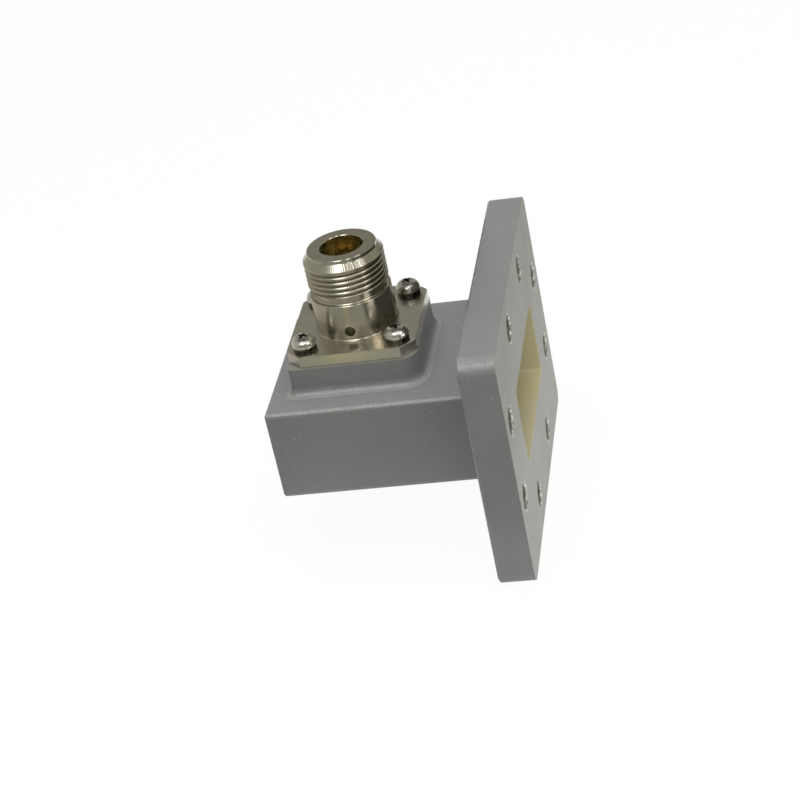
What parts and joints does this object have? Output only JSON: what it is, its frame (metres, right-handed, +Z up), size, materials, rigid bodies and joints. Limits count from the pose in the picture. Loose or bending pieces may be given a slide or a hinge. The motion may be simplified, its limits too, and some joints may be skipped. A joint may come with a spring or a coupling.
{
  "type": "waveguide adapter",
  "caption": "Right-angle adapter from a flanged rectangular waveguide, closed at its far end, to a threaded coaxial jack on a raised pad.",
  "frame": {"origin": "centre of the waveguide's mouth, in the flange's mating face", "axes": "+X out of the mouth along the waveguide, +Y along its broad side, +Z up along the jack's axis, out of the jack"},
  "size_m": [0.0486, 0.0682, 0.0588],
  "materials": {
    "painted_casting": "satin mid-grey paint on an aluminium casting, with bare mating face and mouth",
    "nickel_plate": "bright warm nickel plate on brass",
    "white_dielectric": "smooth waxy white",
    "gold_plate": "gold plate",
    "dark_filling": "cured resin, slightly glossy",
    "brass_rod": "turned brass",
    "screw_steel": "smooth bright steel",
    "dark_steel": "dark spring steel"
  },
  "bodies": {
    "root": {"waveguide_body": "painted_casting", "jack_shell": "nickel_plate", "dielectric_sleeve": "white_dielectric", "centre_contact": "gold_plate", "captivation_plug": "dark_filling", "coupling_probe": "brass_rod", "connector_screws": "screw_steel", "spring_washers": "dark_steel"}
  },
  "joints": []
}
